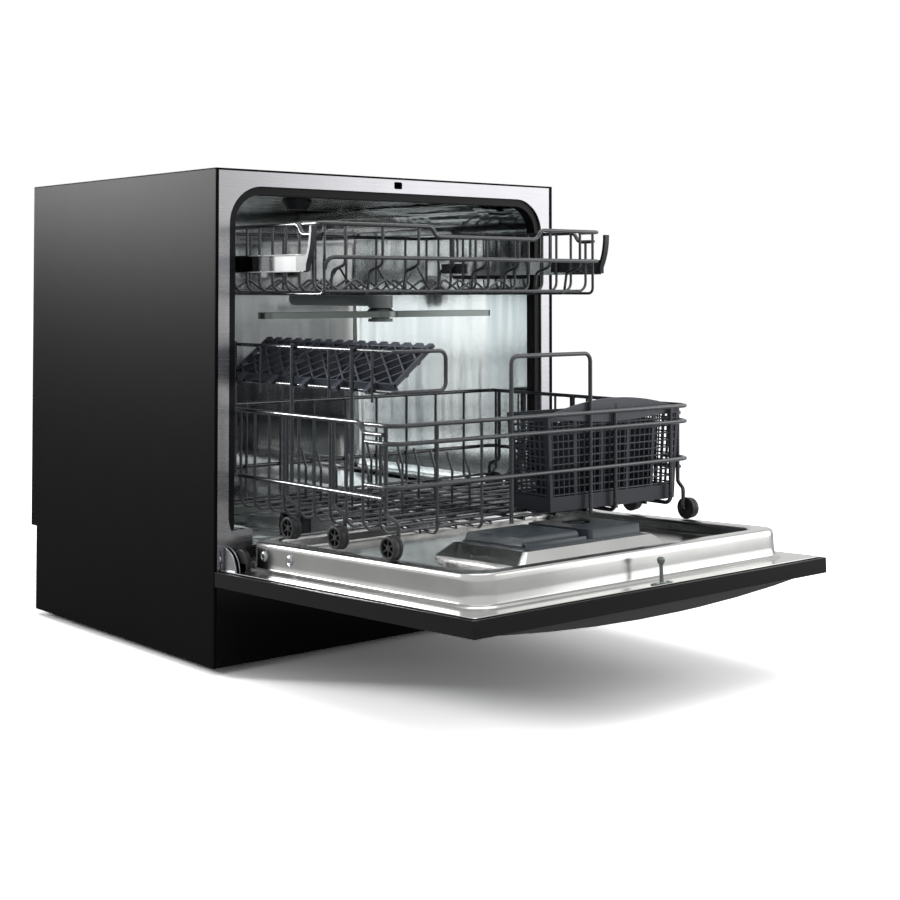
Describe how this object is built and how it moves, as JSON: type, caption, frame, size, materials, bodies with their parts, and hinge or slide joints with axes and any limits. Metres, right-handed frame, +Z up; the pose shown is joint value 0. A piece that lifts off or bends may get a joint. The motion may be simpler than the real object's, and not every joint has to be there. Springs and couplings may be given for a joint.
{
  "type": "countertop dishwasher",
  "caption": "Compact dishwasher with a drop-down door, two pull-out wire racks on wheels and rollers, spray arms, a folding cup shelf and a cutlery basket.",
  "frame": {"origin": "centre of the base of the whole outline, open door included, at the height of the feet", "axes": "+Z up, -Y towards the front where the door opens, +X to the right as seen from the front"},
  "size_m": [0.55, 0.9396, 0.595],
  "materials": {
    "panel_paint": "satin dark grey paint",
    "gloss_black": "gloss black",
    "black_plastic": "matte black",
    "steel": "bright stainless steel",
    "zinc": "zinc-plated sheet",
    "gasket": "black rubber",
    "rack_coat": "dark grey nylon coating on steel wire",
    "grey_plastic": "dark grey moulded plastic",
    "slate_plastic": "blue-grey moulded plastic",
    "white_plastic": "white moulded plastic",
    "felt": "dense dark felt"
  },
  "bodies": {
    "cabinet": {"side_panel_left": "panel_paint", "side_panel_right": "panel_paint", "top_panel": "panel_paint", "back_panel": "panel_paint", "base_pan": "black_plastic", "kick_plate": "gloss_black", "levelling_feet": "black_plastic", "front_frame": "steel", "tub": "steel", "door_gasket": "gasket", "latch_receiver": "black_plastic", "hinge_brackets": "zinc", "door_springs": "zinc", "roller_brackets": "black_plastic", "ceiling_sprayer": "grey_plastic", "rear_feed_dock": "grey_plastic", "spray_hub": "grey_plastic", "sump": "grey_plastic", "circulation_pump": "grey_plastic", "drain_pump": "black_plastic", "heater": "steel", "inlet_valve": "white_plastic", "softener": "white_plastic", "control_box": "white_plastic", "drain_spigot": "grey_plastic", "power_inlet": "black_plastic"},
    "door": {"door_panel": "gloss_black", "door_grip": "black_plastic", "door_insulation": "felt", "door_liner": "steel", "liner_screws": "steel", "hinge_arms": "zinc", "hinge_bushes": "black_plastic", "striker": "steel", "dispenser_body": "slate_plastic"},
    "lid": {"dispenser_lid": "slate_plastic"},
    "rinse_cap": {"rinse_cap": "grey_plastic"},
    "upper_rack": {"upper_rack": "rack_coat", "upper_rails": "steel", "rail_end_clips": "grey_plastic", "mid_spray_feed": "grey_plastic"},
    "mid_spray_arm": {"mid_spray_arm": "steel"},
    "lower_rack": {"lower_rack": "rack_coat", "rack_axles": "rack_coat"},
    "cup_shelf": {"cup_shelf": "grey_plastic"},
    "cutlery_basket": {"cutlery_basket": "slate_plastic"},
    "lower_spray_arm": {"lower_spray_arm": "steel"},
    "filter": {"filter": "slate_plastic"},
    "roller_front_left": {"roller_front_left": "grey_plastic"},
    "roller_rear_left": {"roller_rear_left": "grey_plastic"},
    "roller_front_right": {"roller_front_right": "grey_plastic"},
    "roller_rear_right": {"roller_rear_right": "grey_plastic"},
    "wheel_left_1": {"wheel_left_1": "grey_plastic"},
    "wheel_left_2": {"wheel_left_2": "grey_plastic"},
    "wheel_left_3": {"wheel_left_3": "grey_plastic"},
    "wheel_left_4": {"wheel_left_4": "grey_plastic"},
    "wheel_right_1": {"wheel_right_1": "grey_plastic"},
    "wheel_right_2": {"wheel_right_2": "grey_plastic"},
    "wheel_right_3": {"wheel_right_3": "grey_plastic"},
    "wheel_right_4": {"wheel_right_4": "grey_plastic"}
  },
  "joints": [
    {"name": "door_hinge", "type": "hinge", "parent": "cabinet", "child": "door", "pos_m": [0, -0.00221, 0.128], "axis": [1, 0, 0], "range_deg": [0, 2]},
    {"name": "lid_slide", "type": "slide", "parent": "door", "child": "lid", "axis": [-1, 0, 0], "range_m": [0, 0.058]},
    {"name": "rinse_cap_turn", "type": "hinge", "parent": "door", "child": "rinse_cap", "pos_m": [0.05, -0.28081, 0.17275], "axis": [0, 0.0349, 0.9994], "range_deg": [0, 90]},
    {"name": "upper_rack_slide", "type": "slide", "parent": "cabinet", "child": "upper_rack", "axis": [0, 1, 0], "range_m": [0, 0.191]},
    {"name": "mid_arm_spin", "type": "hinge", "parent": "upper_rack", "child": "mid_spray_arm", "pos_m": [0, 0.02879, 0.42], "axis": [0, 0, 1], "continuous": true},
    {"name": "lower_rack_slide", "type": "slide", "parent": "cabinet", "child": "lower_rack", "axis": [0, 1, 0], "range_m": [0, 0.334]},
    {"name": "cup_shelf_hinge", "type": "hinge", "parent": "lower_rack", "child": "cup_shelf", "pos_m": [-0.22672, -0.27821, 0.342], "axis": [0, -1, 0], "range_deg": [0, 44]},
    {"name": "cutlery_basket_lift", "type": "slide", "parent": "lower_rack", "child": "cutlery_basket", "axis": [0, 0, -1], "range_m": [-0.13, 0]},
    {"name": "lower_arm_spin", "type": "hinge", "parent": "cabinet", "child": "lower_spray_arm", "pos_m": [0, 0.21979, 0.151], "axis": [0, 0, 1], "continuous": true},
    {"name": "filter_twist", "type": "hinge", "parent": "cabinet", "child": "filter", "pos_m": [0.096, 0.12779, 0.12], "axis": [0, 0, 1], "range_deg": [0, 45]},
    {"name": "roller_front_left_turn", "type": "hinge", "parent": "cabinet", "child": "roller_front_left", "pos_m": [-0.236, 0.07979, 0.481], "axis": [-1, 0, 0], "range_deg": [-2, 1262]},
    {"name": "roller_rear_left_turn", "type": "hinge", "parent": "cabinet", "child": "roller_rear_left", "pos_m": [-0.236, 0.15179, 0.481], "axis": [-1, 0, 0], "range_deg": [-2, 1262]},
    {"name": "roller_front_right_turn", "type": "hinge", "parent": "cabinet", "child": "roller_front_right", "pos_m": [0.236, 0.07979, 0.481], "axis": [-1, 0, 0], "range_deg": [-2, 1262]},
    {"name": "roller_rear_right_turn", "type": "hinge", "parent": "cabinet", "child": "roller_rear_right", "pos_m": [0.236, 0.15179, 0.481], "axis": [-1, 0, 0], "range_deg": [-2, 1262]},
    {"name": "wheel_left_1_turn", "type": "hinge", "parent": "lower_rack", "child": "wheel_left_1", "pos_m": [-0.235, -0.29221, 0.17995], "axis": [-1, 0, 0], "range_deg": [-2, 1422]},
    {"name": "wheel_left_2_turn", "type": "hinge", "parent": "lower_rack", "child": "wheel_left_2", "pos_m": [-0.235, -0.19821, 0.17995], "axis": [-1, 0, 0], "range_deg": [-2, 1422]},
    {"name": "wheel_left_3_turn", "type": "hinge", "parent": "lower_rack", "child": "wheel_left_3", "pos_m": [-0.235, -0.10821, 0.17995], "axis": [-1, 0, 0], "range_deg": [-2, 1422]},
    {"name": "wheel_left_4_turn", "type": "hinge", "parent": "lower_rack", "child": "wheel_left_4", "pos_m": [-0.235, 0.06779, 0.17995], "axis": [-1, 0, 0], "range_deg": [-2, 1422]},
    {"name": "wheel_right_1_turn", "type": "hinge", "parent": "lower_rack", "child": "wheel_right_1", "pos_m": [0.235, -0.29221, 0.17995], "axis": [-1, 0, 0], "range_deg": [-2, 1422]},
    {"name": "wheel_right_2_turn", "type": "hinge", "parent": "lower_rack", "child": "wheel_right_2", "pos_m": [0.235, -0.19821, 0.17995], "axis": [-1, 0, 0], "range_deg": [-2, 1422]},
    {"name": "wheel_right_3_turn", "type": "hinge", "parent": "lower_rack", "child": "wheel_right_3", "pos_m": [0.235, -0.10821, 0.17995], "axis": [-1, 0, 0], "range_deg": [-2, 1422]},
    {"name": "wheel_right_4_turn", "type": "hinge", "parent": "lower_rack", "child": "wheel_right_4", "pos_m": [0.235, 0.06779, 0.17995], "axis": [-1, 0, 0], "range_deg": [-2, 1422]}
  ],
  "couplings": [
    {"joint": "roller_front_left_turn", "follows": "upper_rack_slide", "rad_per_m": 114.94},
    {"joint": "roller_rear_left_turn", "follows": "upper_rack_slide", "rad_per_m": 114.94},
    {"joint": "roller_front_right_turn", "follows": "upper_rack_slide", "rad_per_m": 114.94},
    {"joint": "roller_rear_right_turn", "follows": "upper_rack_slide", "rad_per_m": 114.94},
    {"joint": "wheel_left_1_turn", "follows": "lower_rack_slide", "rad_per_m": 74.074},
    {"joint": "wheel_left_2_turn", "follows": "lower_rack_slide", "rad_per_m": 74.074},
    {"joint": "wheel_left_3_turn", "follows": "lower_rack_slide", "rad_per_m": 74.074},
    {"joint": "wheel_left_4_turn", "follows": "lower_rack_slide", "rad_per_m": 74.074},
    {"joint": "wheel_right_1_turn", "follows": "lower_rack_slide", "rad_per_m": 74.074},
    {"joint": "wheel_right_2_turn", "follows": "lower_rack_slide", "rad_per_m": 74.074},
    {"joint": "wheel_right_3_turn", "follows": "lower_rack_slide", "rad_per_m": 74.074},
    {"joint": "wheel_right_4_turn", "follows": "lower_rack_slide", "rad_per_m": 74.074}
  ]
}
